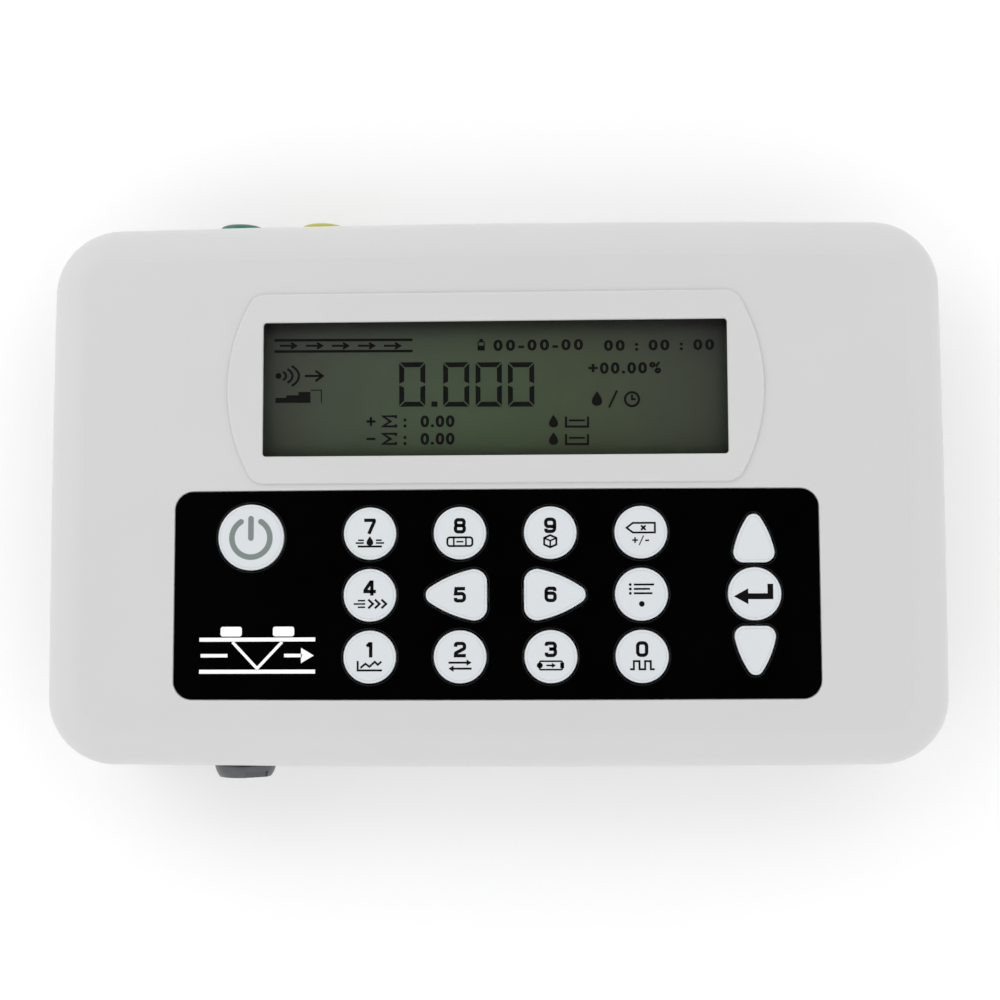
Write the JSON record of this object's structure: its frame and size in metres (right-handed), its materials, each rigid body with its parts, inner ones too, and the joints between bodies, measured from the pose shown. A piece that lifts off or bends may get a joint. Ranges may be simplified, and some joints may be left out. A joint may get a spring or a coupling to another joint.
{
  "type": "portable ultrasonic flow meter",
  "caption": "Portable ultrasonic flow meter: pale grey rounded case, wide display, black keypad panel with white keys, coloured sensor sockets and a grey charging socket.",
  "frame": {"origin": "centre of the whole instrument's footprint, on the plane that its feet stand on", "axes": "+Z out of the face, +Y towards the edge with the coloured sensor sockets, +X to the right as the keys are read; the instrument lies on its back"},
  "size_m": [0.264, 0.1678, 0.05],
  "materials": {
    "case_grey": "fine satin texture",
    "key_white": "satin, faintly bluish white",
    "keypad_black": "smooth black film",
    "window_clear": "clear, anti-glare",
    "lcd_glass": "olive display glass",
    "lcd_steel": "blackened steel",
    "light_guide": "milky",
    "board_green": "solder mask",
    "chip_black": "moulded",
    "transformer_grey": "potted",
    "cell_steel": "bright",
    "header_white": "natural nylon",
    "ribbon_grey": "flat cable",
    "lead_black": "round cable",
    "battery_sleeve": "shrink sleeve",
    "strap_aluminium": "bent sheet",
    "socket_grey": "moulded",
    "collar_green": "satin green",
    "collar_yellow": "satin yellow",
    "charger_grey": "satin grey",
    "insert_black": "moulded",
    "nut_brass": "turned",
    "screw_steel": "zinc plated",
    "gasket_black": "foam",
    "dome_film": "clear film",
    "foot_rubber": "matt"
  },
  "bodies": {
    "case": {"front_cover": "case_grey", "rear_cover": "case_grey", "case_gasket": "gasket_black", "display_gasket": "gasket_black", "case_screws": "screw_steel", "board_screws": "screw_steel", "rear_feet": "foot_rubber", "display_window": "window_clear", "lcd_glass": "lcd_glass", "lcd_bezel": "lcd_steel", "lcd_backlight": "light_guide", "lcd_board": "board_green", "keypad_overlay": "keypad_black", "dome_sheet": "dome_film", "keypad_board": "board_green", "main_board": "board_green", "processor": "chip_black", "signal_processor": "chip_black", "transmit_transformer": "transformer_grey", "clock_cell": "cell_steel", "keypad_header": "header_white", "display_header": "header_white", "battery_header": "header_white", "sensor_header": "header_white", "charger_header": "header_white", "keypad_ribbon": "ribbon_grey", "display_ribbon": "ribbon_grey", "battery_pack": "battery_sleeve", "battery_bracket": "strap_aluminium", "battery_lead": "lead_black", "sensor_socket_green": "socket_grey", "sensor_collar_green": "collar_green", "sensor_insert_green": "insert_black", "sensor_lead_green": "lead_black", "sensor_socket_yellow": "socket_grey", "sensor_collar_yellow": "collar_yellow", "sensor_insert_yellow": "insert_black", "sensor_lead_yellow": "lead_black", "charger_socket": "charger_grey", "charger_nut": "nut_brass", "charger_insert": "insert_black", "charger_lead": "lead_black"},
    "key_power": {"key_power": "key_white"},
    "key_0": {"key_0": "key_white"},
    "key_1": {"key_1": "key_white"},
    "key_2": {"key_2": "key_white"},
    "key_3": {"key_3": "key_white"},
    "key_4": {"key_4": "key_white"},
    "key_5": {"key_5": "key_white"},
    "key_6": {"key_6": "key_white"},
    "key_7": {"key_7": "key_white"},
    "key_8": {"key_8": "key_white"},
    "key_9": {"key_9": "key_white"},
    "key_delete": {"key_delete": "key_white"},
    "key_options": {"key_options": "key_white"},
    "key_up": {"key_up": "key_white"},
    "key_enter": {"key_enter": "key_white"},
    "key_down": {"key_down": "key_white"}
  },
  "joints": [
    {"name": "key_power_press", "type": "slide", "parent": "case", "child": "key_power", "axis": [0, 0, -1], "range_m": [0, 0.0005], "stiffness_N_per_m": 1500, "springref_m": -0.0005, "deforming": ["dome_sheet"]},
    {"name": "key_0_press", "type": "slide", "parent": "case", "child": "key_0", "axis": [0, 0, -1], "range_m": [0, 0.0005], "stiffness_N_per_m": 1500, "springref_m": -0.0005, "deforming": ["dome_sheet"]},
    {"name": "key_1_press", "type": "slide", "parent": "case", "child": "key_1", "axis": [0, 0, -1], "range_m": [0, 0.0005], "stiffness_N_per_m": 1500, "springref_m": -0.0005, "deforming": ["dome_sheet"]},
    {"name": "key_2_press", "type": "slide", "parent": "case", "child": "key_2", "axis": [0, 0, -1], "range_m": [0, 0.0005], "stiffness_N_per_m": 1500, "springref_m": -0.0005, "deforming": ["dome_sheet"]},
    {"name": "key_3_press", "type": "slide", "parent": "case", "child": "key_3", "axis": [0, 0, -1], "range_m": [0, 0.0005], "stiffness_N_per_m": 1500, "springref_m": -0.0005, "deforming": ["dome_sheet"]},
    {"name": "key_4_press", "type": "slide", "parent": "case", "child": "key_4", "axis": [0, 0, -1], "range_m": [0, 0.0005], "stiffness_N_per_m": 1500, "springref_m": -0.0005, "deforming": ["dome_sheet"]},
    {"name": "key_5_press", "type": "slide", "parent": "case", "child": "key_5", "axis": [0, 0, -1], "range_m": [0, 0.0005], "stiffness_N_per_m": 1500, "springref_m": -0.0005, "deforming": ["dome_sheet"]},
    {"name": "key_6_press", "type": "slide", "parent": "case", "child": "key_6", "axis": [0, 0, -1], "range_m": [0, 0.0005], "stiffness_N_per_m": 1500, "springref_m": -0.0005, "deforming": ["dome_sheet"]},
    {"name": "key_7_press", "type": "slide", "parent": "case", "child": "key_7", "axis": [0, 0, -1], "range_m": [0, 0.0005], "stiffness_N_per_m": 1500, "springref_m": -0.0005, "deforming": ["dome_sheet"]},
    {"name": "key_8_press", "type": "slide", "parent": "case", "child": "key_8", "axis": [0, 0, -1], "range_m": [0, 0.0005], "stiffness_N_per_m": 1500, "springref_m": -0.0005, "deforming": ["dome_sheet"]},
    {"name": "key_9_press", "type": "slide", "parent": "case", "child": "key_9", "axis": [0, 0, -1], "range_m": [0, 0.0005], "stiffness_N_per_m": 1500, "springref_m": -0.0005, "deforming": ["dome_sheet"]},
    {"name": "key_delete_press", "type": "slide", "parent": "case", "child": "key_delete", "axis": [0, 0, -1], "range_m": [0, 0.0005], "stiffness_N_per_m": 1500, "springref_m": -0.0005, "deforming": ["dome_sheet"]},
    {"name": "key_options_press", "type": "slide", "parent": "case", "child": "key_options", "axis": [0, 0, -1], "range_m": [0, 0.0005], "stiffness_N_per_m": 1500, "springref_m": -0.0005, "deforming": ["dome_sheet"]},
    {"name": "key_up_press", "type": "slide", "parent": "case", "child": "key_up", "axis": [0, 0, -1], "range_m": [0, 0.0005], "stiffness_N_per_m": 1500, "springref_m": -0.0005, "deforming": ["dome_sheet"]},
    {"name": "key_enter_press", "type": "slide", "parent": "case", "child": "key_enter", "axis": [0, 0, -1], "range_m": [0, 0.0005], "stiffness_N_per_m": 1500, "springref_m": -0.0005, "deforming": ["dome_sheet"]},
    {"name": "key_down_press", "type": "slide", "parent": "case", "child": "key_down", "axis": [0, 0, -1], "range_m": [0, 0.0005], "stiffness_N_per_m": 1500, "springref_m": -0.0005, "deforming": ["dome_sheet"]}
  ]
}
